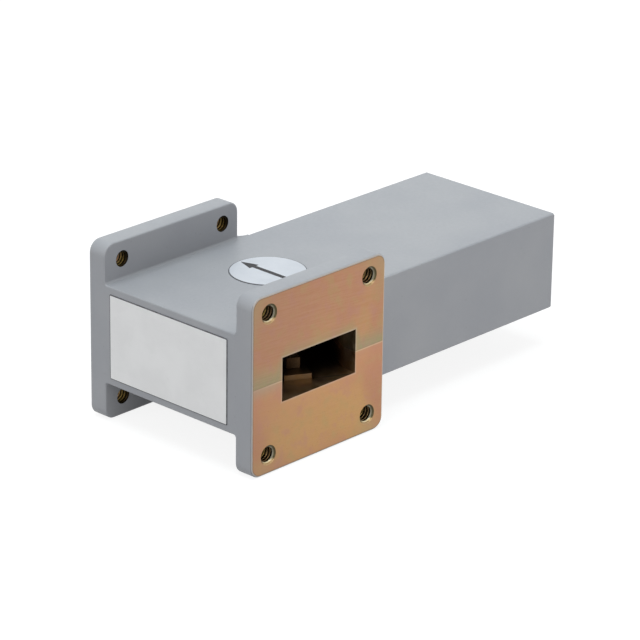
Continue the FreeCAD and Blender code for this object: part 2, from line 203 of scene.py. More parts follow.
def surface_place(tree, turn=(0, 0, 0), fineness=(1, 1, 1)):
    """Place on the object in millimetres, turned for a pattern, and drawn out where fineness is low."""
    place = tree.nodes.new("ShaderNodeTexCoord").outputs["Object"]
    scale = [MM / part for part in fineness]
    sockets = {"Vector": place, "Rotation": [math.radians(part) for part in turn], "Scale": scale}
    return put(tree, "ShaderNodeMapping", sockets, vector_type="TEXTURE").outputs["Vector"]


def axes_of(tree, place):
    """The X, Y and Z of a place."""
    parts = put(tree, "ShaderNodeSeparateXYZ", {"Vector": place})
    return parts.outputs["X"], parts.outputs["Y"], parts.outputs["Z"]


def cloud(tree, place, scale, detail=2.0, roughness=0.5, distortion=0.0):
    """Noise whose patches are about one over scale millimetres wide."""
    sockets = {"Vector": place, "Scale": scale, "Detail": detail, "Roughness": roughness}
    sockets["Distortion"] = distortion
    return put(tree, "ShaderNodeTexNoise", sockets).outputs["Fac"]


def new_effect(name, inputs):
    """Node group with named inputs, and outputs for colour, roughness and height."""
    group = bpy.data.node_groups.new(name, "ShaderNodeTree")
    for title, value in inputs.items():
        kind = "NodeSocketFloat" if isinstance(value, float) else "NodeSocketColor"
        group.interface.new_socket(title, in_out="INPUT", socket_type=kind).default_value = value
    for title in ("Color", "Roughness", "Height"):
        kind = "NodeSocketColor" if title == "Color" else "NodeSocketFloat"
        group.interface.new_socket(title, in_out="OUTPUT", socket_type=kind)
    return group, group.nodes.new("NodeGroupInput").outputs, group.nodes.new("NodeGroupOutput").inputs


def new_finish(name, constants):
    """Material whose Principled shader has these constants on its own sockets."""
    finish = bpy.data.materials.new(name)
    finish.use_nodes = True
    shader = finish.node_tree.nodes["Principled BSDF"]
    for title, value in constants.items():
        shader.inputs[title].default_value = value
    return finish, finish.node_tree, shader


def wear(tree, effect, values):
    """What an effect group gives out in a material, with the material's own values."""
    node = put(tree, "ShaderNodeGroup", node_tree=effect)
    for title, value in values.items():
        node.inputs[title].default_value = value
    return node.outputs


def finish_with(tree, shader, tone, roughness, height=None, depth=0.0):
    """Give the shader a colour, a roughness and, where there is a height, a relief in metres."""
    feed(tree, shader.inputs["Base Color"], tone)
    feed(tree, shader.inputs["Roughness"], roughness)
    if height is not None:
        bump = put(tree, "ShaderNodeBump", {"Height": height, "Distance": depth})
        feed(tree, shader.inputs["Normal"], bump.outputs["Normal"])


# Sprayed enamel: faint orange peel, slow drift of tone, fine grit, and a few dust nibs
enamel_skin, coat_in, coat_out = new_effect("enamel_skin", {"Paint": (0.3, 0.33, 0.36, 1), "Nibs": 1.0})
tree = enamel_skin
coat_place = surface_place(tree)
coat_drift = cloud(tree, coat_place, 0.05, 2.0)
coat_peel = cloud(tree, coat_place, 1.1, 3.0, 0.55)
coat_grit = cloud(tree, coat_place, 7.0, 2.0)
coat_pale = tint(tree, 1.0, coat_in["Paint"], (1.05, 1.05, 1.04, 1), "MULTIPLY")
coat_deep = tint(tree, 1.0, coat_in["Paint"], (0.94, 0.945, 0.96, 1), "MULTIPLY")
coat_tone = tint(tree, between(tree, coat_drift, 0.3, 0.7), coat_deep, coat_pale)
nib_cells = put(tree, "ShaderNodeTexVoronoi", {"Vector": coat_place, "Scale": 0.35})
nib = between(tree, nib_cells.outputs["Distance"], 0.03, 0.075, 1.0, 0.0)
nib = masked(tree, nib, coat_in["Nibs"])
coat_tone = tint(tree, between(tree, coat_grit, 0.35, 0.75, 0.0, 0.12), coat_tone, (0.5, 0.52, 0.55, 1))
coat_tone = tint(tree, masked(tree, nib, 0.25), coat_tone, (0.16, 0.165, 0.18, 1))
coat_height = work(tree, "MULTIPLY_ADD", coat_grit, 0.12, coat_peel)
feed(tree, coat_out["Color"], coat_tone)
feed(tree, coat_out["Roughness"], between(tree, coat_peel, 0.3, 0.7, 0.46, 0.56))
feed(tree, coat_out["Height"], work(tree, "MULTIPLY_ADD", nib, 0.5, coat_height))

# Chromate film on bare aluminium: gold in the middle and the lower half, and salmon above and
# towards the edges
FILM_PINK = (0.62, 0.42, 0.32, 1)
FILM_ROSE = (0.4, 0.2, 0.16, 1)
FILM_STRAW = (0.36, 0.27, 0.12, 1)
FILM_RED = (0.56, 0.26, 0.16, 1)
FILM_TAN = (0.37, 0.3, 0.22, 1)
FILM_GREEN = (0.36, 0.265, 0.14, 1)
PORE_BROWN = (0.2, 0.11, 0.06, 1)
THIN_BROWN = (0.17, 0.11, 0.09, 1)
RIM_BROWN = (0.16, 0.12, 0.075, 1)
BURR_PALE = (0.62, 0.5, 0.42, 1)
MOUTH_GREY = (0.47, 0.42, 0.34, 1)
LIP_CREAM = (0.6, 0.52, 0.35, 1)
SEAM_DARK = (0.06, 0.04, 0.03, 1)
LIP_BELOW_SEAM = 0.2 * MM

chromate_film, film_in, film_out = new_effect(
    "chromate_film",
    {"Salmon": (0.4, 0.2, 0.112, 1), "Gold": (0.45, 0.258, 0.108, 1), "Olive": (0.285, 0.25, 0.137, 1)},
)
tree = chromate_film
film_place = surface_place(tree)
film_y, film_z = axes_of(tree, film_place)[1:]
across = work(tree, "ABSOLUTE", film_y)
from_seam = work(tree, "ABSOLUTE", film_z)
above_seam = work(tree, "GREATER_THAN", film_z, 0.0)
below_seam = work(tree, "LESS_THAN", film_z, 0.0)
film_bloom = cloud(tree, film_place, 0.05, 2.0, 0.5, 0.6)
film_mottle = cloud(tree, film_place, 0.45, 4.0, 0.6)
square_reach = work(tree, "MAXIMUM", across, from_seam)
rim_share = between(tree, square_reach, mm(FLANGE_HALF) * 0.62, mm(FLANGE_HALF), 0.0, 0.5)
gold_share = work(tree, "MULTIPLY_ADD", film_z, -0.024, between(tree, film_bloom, 0.2, 0.8))
gold_share = work(tree, "SUBTRACT", gold_share, rim_share)
gold_share = work(tree, "MULTIPLY_ADD", film_mottle, 0.3, work(tree, "SUBTRACT", gold_share, 0.15))
film_tone = tint(tree, between(tree, gold_share, 0.0, 1.0), film_in["Salmon"], film_in["Gold"])

# An olive bloom just above the seam and over the opening, taller at the label's side
over_mouth = between(tree, across, 10.5, 13.5, mm(GUIDE_HALF_HEIGHT), 0.0)
bloom_rise = work(tree, "SUBTRACT", film_z, over_mouth)
bloom_top = work(tree, "MULTIPLY_ADD", film_mottle, 2.2, 2.6)
bloom_top = work(tree, "MULTIPLY_ADD", over_mouth, -0.25, bloom_top)
bloom_top = work(tree, "ADD", bloom_top, between(tree, film_y, -10.0, -21.0, 0.0, 1.2))
bloom_share = between(tree, work(tree, "DIVIDE", bloom_rise, bloom_top), 0.0, 1.3, 0.95, 0.0)
faint_over_mouth = between(tree, over_mouth, 0.0, mm(GUIDE_HALF_HEIGHT), 1.0, 0.5)
film_tone = tint(tree, masked(tree, bloom_share, faint_over_mouth, above_seam), film_tone, film_in["Olive"])

# Nearly level brush lines, rosy and straw patches, and brown pores. Below the seam the lines are
# fainter and the pores show more.
brush_marks = cloud(tree, surface_place(tree, (-4, 0, 0), (1, 0.07, 1.5)), 1.6, 3.0, 0.6)
brush_share = between(tree, brush_marks, 0.3, 0.7, 0.0, 0.1)
brush_share = masked(tree, brush_share, between(tree, film_z, -2.0, 2.0, 0.45, 1.0))
film_tone = tint(tree, brush_share, film_tone, FILM_PINK)
film_patches = cloud(tree, surface_place(tree, (20, 0, 0)), 0.26, 3.0, 0.6)
film_tone = tint(tree, between(tree, film_patches, 0.5, 0.7, 0.0, 0.42), film_tone, FILM_ROSE)
film_tone = tint(tree, between(tree, film_patches, 0.5, 0.3, 0.0, 0.42), film_tone, FILM_STRAW)
pore = between(tree, cloud(tree, film_place, 3.2, 2.0), 0.62, 0.74)
pore_share = masked(tree, pore, between(tree, film_z, -4.0, 6.0, 0.34, 0.12))
film_tone = tint(tree, pore_share, film_tone, PORE_BROWN)

# A lip rubbed grey round the opening, and below the seam a red cast that is tan at the label's side
past_side = work(tree, "SUBTRACT", across, mm(GUIDE_HALF_WIDTH))
past_wall = work(tree, "SUBTRACT", from_seam, mm(GUIDE_HALF_HEIGHT))
mouth_lip = between(tree, work(tree, "MAXIMUM", past_side, past_wall), 0.05, 0.6, 0.46, 0.0)
mouth_lip = masked(tree, mouth_lip, between(tree, film_mottle, 0.35, 0.6, 0.6, 1.0))
film_tone = tint(tree, mouth_lip, film_tone, MOUTH_GREY)
red_cast = masked(tree, between(tree, film_z, -1.0, -14.0, 0.3, 0.0), below_seam)
film_tone = tint(tree, red_cast, film_tone, FILM_RED)
tan_patch = masked(tree, between(tree, film_z, 0.0, -3.4, 0.6, 0.0), below_seam)
tan_patch = masked(tree, tan_patch, between(tree, film_y, -9.0, -15.0, 0.15, 1.0))
film_tone = tint(tree, tan_patch, film_tone, FILM_TAN)

# The seam is a dark line, with a rubbed lip under it that fades at the label's side
seam_lip = between(tree, off_plane(tree, film_z, -mm(LIP_BELOW_SEAM)), 0.1, 0.26, 0.34, 0.0)
seam_lip = masked(tree, seam_lip, between(tree, film_y, -12.0, -18.0, 1.0, 0.3))
film_tone = tint(tree, seam_lip, film_tone, LIP_CREAM)
seam_line = between(tree, from_seam, 0.02, 0.07, 0.45, 0.0)
film_tone = tint(tree, seam_line, film_tone, SEAM_DARK)

# Greener corners, a brown line inside the rounded ones, a pale burr along the load arm's side,
# and a thinner, darker film towards the label's side
from_centre = work_vector(tree, "LENGTH", work_vector(tree, "MULTIPLY", film_place, (0, 1, 1)))
corner_share = between(tree, from_centre, 20.0, 28.0, 0.0, 0.7)
corner_share = masked(tree, corner_share, between(tree, film_bloom, 0.35, 0.6))
film_tone = tint(tree, corner_share, film_tone, FILM_GREEN)
into_corner = []
for reach in (across, from_seam):
    past_straight = work(tree, "SUBTRACT", reach, mm(FLANGE_HALF - FLANGE_CORNER))
    into_corner.append(work(tree, "MAXIMUM", past_straight, 0.0))
rim_line = between(
    tree, diagonal(tree, *into_corner), mm(FLANGE_CORNER) - 0.7, mm(FLANGE_CORNER) - 0.42, 0.0, 0.58
)
film_tone = tint(tree, rim_line, film_tone, RIM_BROWN)
burr = between(tree, film_y, mm(FLANGE_HALF) - 0.65, mm(FLANGE_HALF) - 0.5, 0.0, 0.6)
film_tone = tint(tree, burr, film_tone, BURR_PALE)
film_tone = tint(tree, between(tree, film_y, -24.0, 12.0, 0.21, 0.0), film_tone, THIN_BROWN)
film_rough = between(tree, film_mottle, 0.3, 0.7, 0.34, 0.46)
film_height = work(tree, "MULTIPLY_ADD", brush_marks, 0.5, work(tree, "MULTIPLY", pore, -0.7))
feed(tree, film_out["Color"], film_tone)
feed(tree, film_out["Roughness"], work(tree, "MULTIPLY_ADD", pore, 0.12, film_rough))
feed(tree, film_out["Height"], work(tree, "SUBTRACT", film_height, seam_line))

# Enamel of the outside, with painted light on it: a painted cream highlight on the broken edge round
# each mating face, a painted dark line of shade behind that edge at the label's side, and painted
# shade on the flanges' inner faces, beyond the bar. from_face is 0 at the mating faces and falls
# towards the middle.
ENAMEL_RELIEF = 0.02 * MM
body_enamel, tree, shader = new_finish("body_enamel", {"Metallic": 0.0, "IOR": 1.5})
skin = wear(tree, enamel_skin, {"Paint": (0.362, 0.37, 0.396, 1)})
body_x, body_y, body_z = axes_of(tree, surface_place(tree))
from_face = work(tree, "ADD", off_plane(tree, body_x, mm(MIDDLE_X)), mm(MIDDLE_X))
label_edge_share = between(tree, body_y, 0.7 - mm(FLANGE_HALF), 0.4 - mm(FLANGE_HALF), 0.0, 1.0)
# Painted highlight: a cream line on the broken edge round each mating face, set back further at the label's
# side and broken up by noise
highlight_reach = work(tree, "MULTIPLY_ADD", label_edge_share, -0.3 * mm(EDGE_BREAK), from_face)
painted_edge_highlight = between(tree, highlight_reach, -0.85 * mm(EDGE_BREAK), -0.5 * mm(EDGE_BREAK), 0.0, 0.5)
highlight_breakup = cloud(tree, surface_place(tree), 0.5, 3.0)
painted_edge_highlight = masked(tree, painted_edge_highlight, between(tree, highlight_breakup, 0.35, 0.6, 0.65, 1.0))
# Painted shade: a dark brown line behind the broken edge, at the label's side only
painted_edge_shade = between(tree, from_face, -0.9 * mm(EDGE_BREAK), -0.75 * mm(EDGE_BREAK), 0.0, 0.42)
edge_shade_stop = between(tree, from_face, -0.6 * mm(EDGE_BREAK), -0.45 * mm(EDGE_BREAK), 1.0, 0.0)
painted_edge_shade = masked(tree, painted_edge_shade, edge_shade_stop, label_edge_share)
body_tone = tint(tree, painted_edge_shade, skin["Color"], (0.12, 0.085, 0.06, 1))
body_tone = tint(tree, painted_edge_highlight, body_tone, (0.6, 0.5, 0.4, 1))
inner_face = -mm(FLANGE_THICKNESS)
# Painted shade on the flanges' inner faces, beyond the bar
shade = between(tree, from_face, inner_face - 0.7, inner_face - 0.05, 0.0, 0.17)
shade_stop = between(tree, from_face, inner_face + 0.05, inner_face + 0.3, 1.0, 0.0)
past_bar = work(tree, "SUBTRACT", work(tree, "ABSOLUTE", body_z), mm(BAR_HALF_HEIGHT))
shade = masked(tree, shade, shade_stop, between(tree, past_bar, -0.1, 0.1, 0.0, 1.0))
body_tone = tint(tree, shade, body_tone, (0.06, 0.06, 0.064, 1))
finish_with(tree, shader, body_tone, skin["Roughness"], skin["Height"], ENAMEL_RELIEF)

# The film on the mating faces
FILM_RELIEF = 0.012 * MM
flange_chromate, tree, shader = new_finish("flange_chromate", {"Metallic": 1.0})
film = wear(tree, chromate_film, {})
finish_with(tree, shader, film["Color"], film["Roughness"], film["Height"], FILM_RELIEF)

# Film on the threads, its tones dimmed as painted shade in the bores, painted shade in the grooves
# and towards the enamelled faces, sooty stains at random, and countersinks with painted light: a
# highlight next to the thread, shade at the rim and a bright crescent below the axis.
# from_middle is 25 mm at the mating faces and 20 mm at the flanges' inner faces.
THREAD_SHADED_TONES = {"Salmon": (0.14, 0.08, 0.028, 1), "Gold": (0.22, 0.13, 0.042, 1)}
THREAD_OCHRE = (0.17, 0.125, 0.022, 1)
SOOT_AND_SHADE = (0.012, 0.008, 0.005, 1)
SINK_HIGHLIGHT = (0.25, 0.235, 0.18, 1)
SINK_SHADE = (0.07, 0.058, 0.03, 1)
CRESCENT_HIGHLIGHT = (0.68, 0.6, 0.4, 1)
CRESCENT_RIM_HIGHLIGHT = (0.42, 0.28, 0.15, 1)
CRESCENT_STAIN = (0.4, 0.3, 0.13, 1)

hole_chromate, tree, shader = new_finish("hole_chromate", {"Metallic": 1.0})
film = wear(tree, chromate_film, THREAD_SHADED_TONES)
hole_x, hole_y, hole_z = axes_of(tree, surface_place(tree))
from_middle = off_plane(tree, hole_x, mm(MIDDLE_X))
side_off = work(tree, "SUBTRACT", work(tree, "ABSOLUTE", hole_y), mm(HOLE_Y))
rise_off = work(tree, "SUBTRACT", work(tree, "ABSOLUTE", hole_z), mm(HOLE_Z))
from_axis = diagonal(tree, side_off, rise_off)
hole_tone = tint(tree, between(tree, from_middle, 23.2, 21.8, 0.0, 0.7), film["Color"], THREAD_OCHRE)
# Painted shade in the thread grooves, then painted shade towards the flanges' inner faces
hole_tone = tint(tree, between(tree, from_axis, 1.73, 1.86, 0.0, 0.95), hole_tone, SOOT_AND_SHADE)
hole_tone = tint(tree, between(tree, from_middle, 21.7, 20.3, 0.0, 0.85), hole_tone, SOOT_AND_SHADE)
hole_stains = cloud(tree, surface_place(tree), 1.3, 3.0, 0.6)
hole_tone = tint(tree, between(tree, hole_stains, 0.45, 0.7, 0.0, 0.75), hole_tone, SOOT_AND_SHADE)
# Painted light on the countersink: a highlight next to the thread, shade at the rim, and a highlight
# crescent below the axis
sink_rim = between(tree, from_axis, 1.82, 2.04)
sink_tone = tint(tree, sink_rim, SINK_HIGHLIGHT, SINK_SHADE)
crescent_tone = tint(tree, sink_rim, CRESCENT_HIGHLIGHT, CRESCENT_RIM_HIGHLIGHT)
crescent_tone = tint(tree, between(tree, hole_stains, 0.4, 0.65, 0.0, 0.5), crescent_tone, CRESCENT_STAIN)
above_axis = work(tree, "MULTIPLY", rise_off, work(tree, "SIGN", hole_z))
sink_tone = tint(tree, between(tree, above_axis, -1.1, -1.8), sink_tone, crescent_tone)
hole_tone = tint(tree, between(tree, from_middle, 24.3, 24.46), hole_tone, sink_tone)
finish_with(tree, shader, hole_tone, film["Roughness"], film["Height"], FILM_RELIEF)

# The same film inside the guide, with painted shade that deepens with depth into the guide, painted
# shade on the low ridges' ends, and less of it on top of the lower half's high ridge
GUIDE_FILM_TONES = {"Salmon": (0.4, 0.24, 0.04, 1), "Gold": (0.44, 0.28, 0.045, 1)}
GUIDE_SHADE = (0.012, 0.006, 0.003, 1)
guide_chromate, tree, shader = new_finish("guide_chromate", {"Metallic": 1.0})
film = wear(tree, chromate_film, GUIDE_FILM_TONES)
guide_x, guide_y, guide_z = axes_of(tree, surface_place(tree))
from_junction = off_plane(tree, guide_x, mm(MIDDLE_X))
painted_depth_shade = between(tree, from_junction, 24.8, 14.6, 0.0, 0.99)
along_arm = work(tree, "MULTIPLY", from_junction, math.cos(ARM_TURN))
along_arm = work(tree, "MULTIPLY_ADD", guide_y, -math.sin(ARM_TURN), along_arm)
# Painted shade on the low ridges' ends, and less painted shade on top of the lower half's high ridge
step_face_shade = between(tree, off_plane(tree, along_arm, mm(LOW_RIDGE_END)), 0.05, 0.25, 0.74, 0.0)
painted_depth_shade = work(tree, "MAXIMUM", painted_depth_shade, step_face_shade)
ridge_top_lift = between(tree, off_plane(tree, guide_z, mm(HIGH_RIDGE_TOP)), 0.03, 0.08, 0.62, 0.0)
on_high_ridge = work(tree, "LESS_THAN", along_arm, mm(HIGH_RIDGE_END))
painted_depth_shade = work(tree, "SUBTRACT", painted_depth_shade, masked(tree, ridge_top_lift, on_high_ridge))
guide_tone = tint(tree, painted_depth_shade, film["Color"], GUIDE_SHADE)
finish_with(tree, shader, guide_tone, film["Roughness"], film["Height"], FILM_RELIEF)

# Cutter for the tapped holes: a helical groove with 60 degree flanks
THREAD_PITCH = 25.4 / 32 * MM
THREAD_TURNS = 8
THREAD_RADIUS = 2.083 * MM
GROOVE_FLOOR = THREAD_PITCH / 8
GROOVE_MARGIN = 0.12 * MM
GROOVE_INNER_RADIUS = TAP_RADIUS - GROOVE_MARGIN
GROOVE_MOUTH = GROOVE_FLOOR + 2 * (THREAD_RADIUS - GROOVE_INNER_RADIUS) * math.tan(math.radians(30))
SINK_RADIUS = 2.3 * MM
SINK_DEPTH = 0.57 * MM

groove_middle = (GROOVE_INNER_RADIUS + THREAD_RADIUS) / 2
bpy.ops.object.select_all(action="DESELECT")
bpy.ops.mesh.primitive_plane_add(size=1)
thread_coil = bpy.context.active_object
open_to_edit(thread_coil)
bpy.ops.transform.resize(value=(GROOVE_MOUTH, THREAD_RADIUS - GROOVE_INNER_RADIUS, 1))
bpy.ops.transform.translate(value=(0, groove_middle, 0))
pick(thread_coil, "EDGE", lambda edge: all(end.co.y > groove_middle for end in edge.verts))
bpy.ops.transform.resize(value=(GROOVE_FLOOR / GROOVE_MOUTH, 1, 1), center_override=(0, THREAD_RADIUS, 0))
bpy.ops.mesh.select_all(action="SELECT")
bpy.ops.mesh.delete(type="ONLY_FACE")
close_edit()
twist = thread_coil.modifiers.new("twist", "SCREW")
twist.axis = "X"
twist.steps = 36
twist.render_steps = 36
twist.iterations = THREAD_TURNS
twist.screw_offset = THREAD_PITCH
apply_all(thread_coil)
open_to_edit(thread_coil)
bpy.ops.mesh.fill_holes(sides=4)
bpy.ops.mesh.normals_make_consistent(inside=False)
close_edit()

# Countersink for the outer end of each hole: a cone that narrows along X
SINK_MARGIN = 0.2 * MM
SINK_POINT_RADIUS = 0.9 * TAP_RADIUS
sink_slope = (SINK_RADIUS - TAP_RADIUS) / SINK_DEPTH
sink_length = (SINK_RADIUS + SINK_MARGIN - SINK_POINT_RADIUS) / sink_slope
bpy.ops.object.select_all(action="DESELECT")
bpy.ops.mesh.primitive_cone_add(
    vertices=48,
    radius1=SINK_RADIUS + SINK_MARGIN,
    radius2=SINK_POINT_RADIUS,
    depth=sink_length,
    rotation=(0, math.pi / 2, 0),
)
sink_cone = bpy.context.active_object
apply_all(sink_cone)

# Both cutters' places along X, each with a half turn where it faces the other way. The small turn
# about X keeps their corners off the corners of the bores.
CUTTER_TURN = math.radians(2.3)
coil_spare = (THREAD_TURNS * THREAD_PITCH - FLANGE_THICKNESS) / 2
coil_stations = [(far_face - coil_spare, 0) for far_face in (-FLANGE_THICKNESS, -FLANGE_SPAN)]
sink_inset = sink_length / 2 - SINK_MARGIN / sink_slope
sink_stations = [(-sink_inset, math.pi), (sink_inset - FLANGE_SPAN, 0)]


def copy_of(pattern, name):
    """A copy of an object, with a mesh of its own."""
    copy = bpy.data.objects.new(name, pattern.data.copy())
    bpy.context.collection.objects.link(copy)
    return copy


def join_all(pieces):
    """Join the pieces into the first of them, and apply its place and turn."""
    bpy.ops.object.select_all(action="DESELECT")
    for piece in pieces:
        piece.select_set(True)
    bpy.context.view_layer.objects.active = pieces[0]
    bpy.ops.object.join()
    bpy.ops.object.transform_apply(location=True, rotation=True, scale=True)
    return pieces[0]


def set_in_holes(pattern, up, stations):
    """Copies of one cutter at its stations in the holes of one half, joined."""
    tools = []
    for side in (1, -1):
        for x, turn in stations:
            tool = copy_of(pattern, "tool")
            tool.location = (x, side * HOLE_Y, up * HOLE_Z)
            tool.rotation_euler = (CUTTER_TURN, 0, turn)
            tools.append(tool)
    return join_all(tools)


def cut_away(piece, cutter):
    """Take the cutter's solid out of the piece, and remove the cutter."""
    cut = piece.modifiers.new("cut", "BOOLEAN")
    cut.object = cutter
    cut.operation = "DIFFERENCE"
    cut.solver = "EXACT"
    apply_all(piece)
    bpy.data.objects.remove(cutter)


FACE_SLACK = 0.02 * MM
CROTCH_Y = 17.5 * MM
LOAD_END_Y = 80.0 * MM
POCKET_RADIUS = 7.6 * MM
POCKET_Y = sum(corner[1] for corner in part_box("upper_magnet")) / 2
ENAMEL, CHROMATE, HOLE_FILM, GUIDE_FILM = range(4)


def finish_at(place):
    """Which finish a face has, by where its middle is."""
    x, y, z = place
    from_outer = min(abs(x), abs(x + FLANGE_SPAN))
    from_centre = abs(x - MIDDLE_X)
    if from_outer < FACE_SLACK:
        return CHROMATE
    from_hole = math.hypot(abs(y) - HOLE_Y, abs(z) - HOLE_Z)
    if from_hole < SINK_RADIUS + FACE_SLACK and from_outer < FLANGE_THICKNESS - FACE_SLACK:
        return HOLE_FILM
    if abs(z) < FACE_SLACK or math.hypot(from_centre, y - POCKET_Y) < POCKET_RADIUS + FACE_SLACK:
        return CHROMATE
    in_ports = -GUIDE_HALF_WIDTH - FACE_SLACK < y < CROTCH_Y
    in_arm = 0 < y < LOAD_END_Y + MM and from_centre < GUIDE_HALF_WIDTH + FACE_SLACK
    if abs(z) < GUIDE_HALF_HEIGHT + FACE_SLACK and (in_ports or in_arm):
        return GUIDE_FILM
    return ENAMEL


def machined_half(node, up):
    """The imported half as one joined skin, tapped, countersunk, and given its finishes."""
    half = copy_of(frame["nodes"][node], f"{node}_machined")
    open_to_edit(half)
    bpy.ops.mesh.customdata_custom_splitnormals_clear()
    bpy.ops.mesh.remove_doubles(threshold=0.001 * MM)
    close_edit()
    cut_away(half, set_in_holes(sink_cone, up, sink_stations))
    cut_away(half, set_in_holes(thread_coil, up, coil_stations))
    half.data.materials.clear()
    for finish in (body_enamel, flange_chromate, hole_chromate, guide_chromate):
        half.data.materials.append(finish)
    for face in half.data.polygons:
        face.material_index = finish_at(face.center)
    open_to_edit(half)
    bpy.ops.mesh.dissolve_limited(angle_limit=math.radians(0.3), delimit={"MATERIAL"})
    close_edit()
    soften(half)
    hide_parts(node)
    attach(half, "root")


machined_half("upper_half", 1)
machined_half("lower_half", -1)
bpy.data.objects.remove(thread_coil)
bpy.data.objects.remove(sink_cone)

# Ferrite discs and spacer
# Two ground garnet discs, nearly black with a fine grain, are bonded to the pedestals. A white
# low-loss plastic spacer keeps them apart.


def dress(node, finish):
    """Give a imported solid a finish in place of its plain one."""
    for holder in frame["nodes"][node].material_slots:
        holder.material = finish


garnet, tree, shader = new_finish("garnet", {"Metallic": 0.0, "IOR": 1.9})
garnet_grain = cloud(tree, surface_place(tree), 6.0, 4.0, 0.65)
garnet_lap = cloud(tree, surface_place(tree, (0, 0, 35), (0.2, 4, 1)), 2.0, 2.0)
garnet_share = between(tree, garnet_grain, 0.35, 0.7)
garnet_tone = tint(tree, garnet_share, (0.028, 0.025, 0.024, 1), (0.085, 0.078, 0.07, 1))
garnet_rough = between(tree, garnet_lap, 0.3, 0.7, 0.26, 0.42)
garnet_height = work(tree, "ADD", garnet_grain, garnet_lap)
finish_with(tree, shader, garnet_tone, garnet_rough, garnet_height, 0.006 * MM)
dress("upper_ferrite", garnet)
dress("lower_ferrite", garnet)

white_plastic, tree, shader = new_finish("white_plastic", {"Metallic": 0.0, "Subsurface Weight": 0.1})
shader.inputs["Subsurface Radius"].default_value = (MM, MM, MM)
plastic_marks = cloud(tree, surface_place(tree, fineness=(1, 1, 8)), 1.4, 3.0)
plastic_share = between(tree, plastic_marks, 0.3, 0.7)
plastic_tone = tint(tree, plastic_share, (0.74, 0.73, 0.69, 1), (0.84, 0.83, 0.8, 1))
plastic_rough = between(tree, plastic_marks, 0.3, 0.7, 0.42, 0.55)
finish_with(tree, shader, plastic_tone, plastic_rough, plastic_marks, 0.01 * MM)
dress("ferrite_spacer", white_plastic)

# Magnets, pole discs and dowels
# Nickel-plated magnets on zinc-plated steel discs bias the ferrites from both pockets, and
# hardened ground dowels line the halves up. The faces are turned, so their marks run in rings.
magnet_low, magnet_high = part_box("upper_magnet")
turning_axis = (mm(magnet_low[0] + magnet_high[0]) / 2, mm(magnet_low[1] + magnet_high[1]) / 2, 0)

turned_metal, metal_in, metal_out = new_effect(
    "turned_metal", {"Metal": (0.6, 0.6, 0.58, 1), "Stain": (0.4, 0.36, 0.3, 1)}
)
tree = turned_metal
metal_place = surface_place(tree)
off_axis = work_vector(tree, "SUBTRACT", metal_place, turning_axis)
ring_radius = work_vector(tree, "LENGTH", work_vector(tree, "MULTIPLY", off_axis, (1, 1, 0)))
ring_sockets = {"W": ring_radius, "Scale": 4.0, "Detail": 2.0}
tool_marks = put(tree, "ShaderNodeTexNoise", ring_sockets, noise_dimensions="1D").outputs["Fac"]
stains = cloud(tree, metal_place, 0.35, 4.0, 0.6)
stain_share = between(tree, stains, 0.5, 0.75, 0.0, 0.5)
feed(tree, metal_out["Color"], tint(tree, stain_share, metal_in["Metal"], metal_in["Stain"]))
feed(tree, metal_out["Roughness"], between(tree, stains, 0.3, 0.7, 0.24, 0.4))
feed(tree, metal_out["Height"], tool_marks)


def turned_finish(name, metal, stain):
    """Plated and turned metal of this colour, with stains of another."""
    finish, tree, shader = new_finish(name, {"Metallic": 1.0})
    marks = wear(tree, turned_metal, {"Metal": metal, "Stain": stain})
    finish_with(tree, shader, marks["Color"], marks["Roughness"], marks["Height"], 0.008 * MM)
    return finish


zinc_plate = turned_finish("zinc_plate", (0.6, 0.61, 0.62, 1), (0.42, 0.42, 0.4, 1))
nickel_plate = turned_finish("nickel_plate", (0.62, 0.58, 0.52, 1), (0.4, 0.36, 0.31, 1))
for side in ("upper", "lower"):
    dress(f"{side}_pole_disc", zinc_plate)
    dress(f"{side}_magnet", nickel_plate)
dress("dowel_pins", zinc_plate)

# Absorber wedges
# Iron-loaded epoxy cast into wedges and bonded to the guide's wide walls at the end of the load
# arm. It is dark grey with a grainy, slightly sparkling skin.
loaded_epoxy, tree, shader = new_finish("loaded_epoxy", {"Metallic": 0.0})
epoxy_place = surface_place(tree)
epoxy_grain = cloud(tree, epoxy_place, 5.0, 4.0, 0.7)
iron_cells = put(tree, "ShaderNodeTexVoronoi", {"Vector": epoxy_place, "Scale": 5.0})
iron_spots = between(tree, iron_cells.outputs["Distance"], 0.08, 0.2, 1.0, 0.0)
epoxy_share = between(tree, epoxy_grain, 0.3, 0.7)
epoxy_tone = tint(tree, epoxy_share, (0.025, 0.026, 0.03, 1), (0.075, 0.077, 0.085, 1))
epoxy_tone = tint(tree, masked(tree, iron_spots, 0.5), epoxy_tone, (0.3, 0.3, 0.31, 1))
epoxy_rough = between(tree, epoxy_grain, 0.3, 0.7, 0.5, 0.75)
finish_with(tree, shader, epoxy_tone, epoxy_rough, epoxy_grain, 0.05 * MM)
dress("upper_absorber", loaded_epoxy)
dress("lower_absorber", loaded_epoxy)

# Pocket covers
# Steel discs pressed flush into the magnet pockets and enamelled with the body. Each has a
# rounded rim and the shallow centre mark of its blanking die.
COVER_RIM = 0.15 * MM
COVER_DIMPLE_RADIUS = 0.9 * MM
COVER_DIMPLE_SLOPE = 0.54 * MM
COVER_DIMPLE_DEPTH = 0.25 * MM

cover_enamel, tree, shader = new_finish("cover_enamel", {"Metallic": 0.0, "IOR": 1.5})
skin = wear(tree, enamel_skin, {"Paint": (0.35, 0.365, 0.395, 1), "Nibs": 0.6})
finish_with(tree, shader, skin["Color"], skin["Roughness"], skin["Height"], ENAMEL_RELIEF)


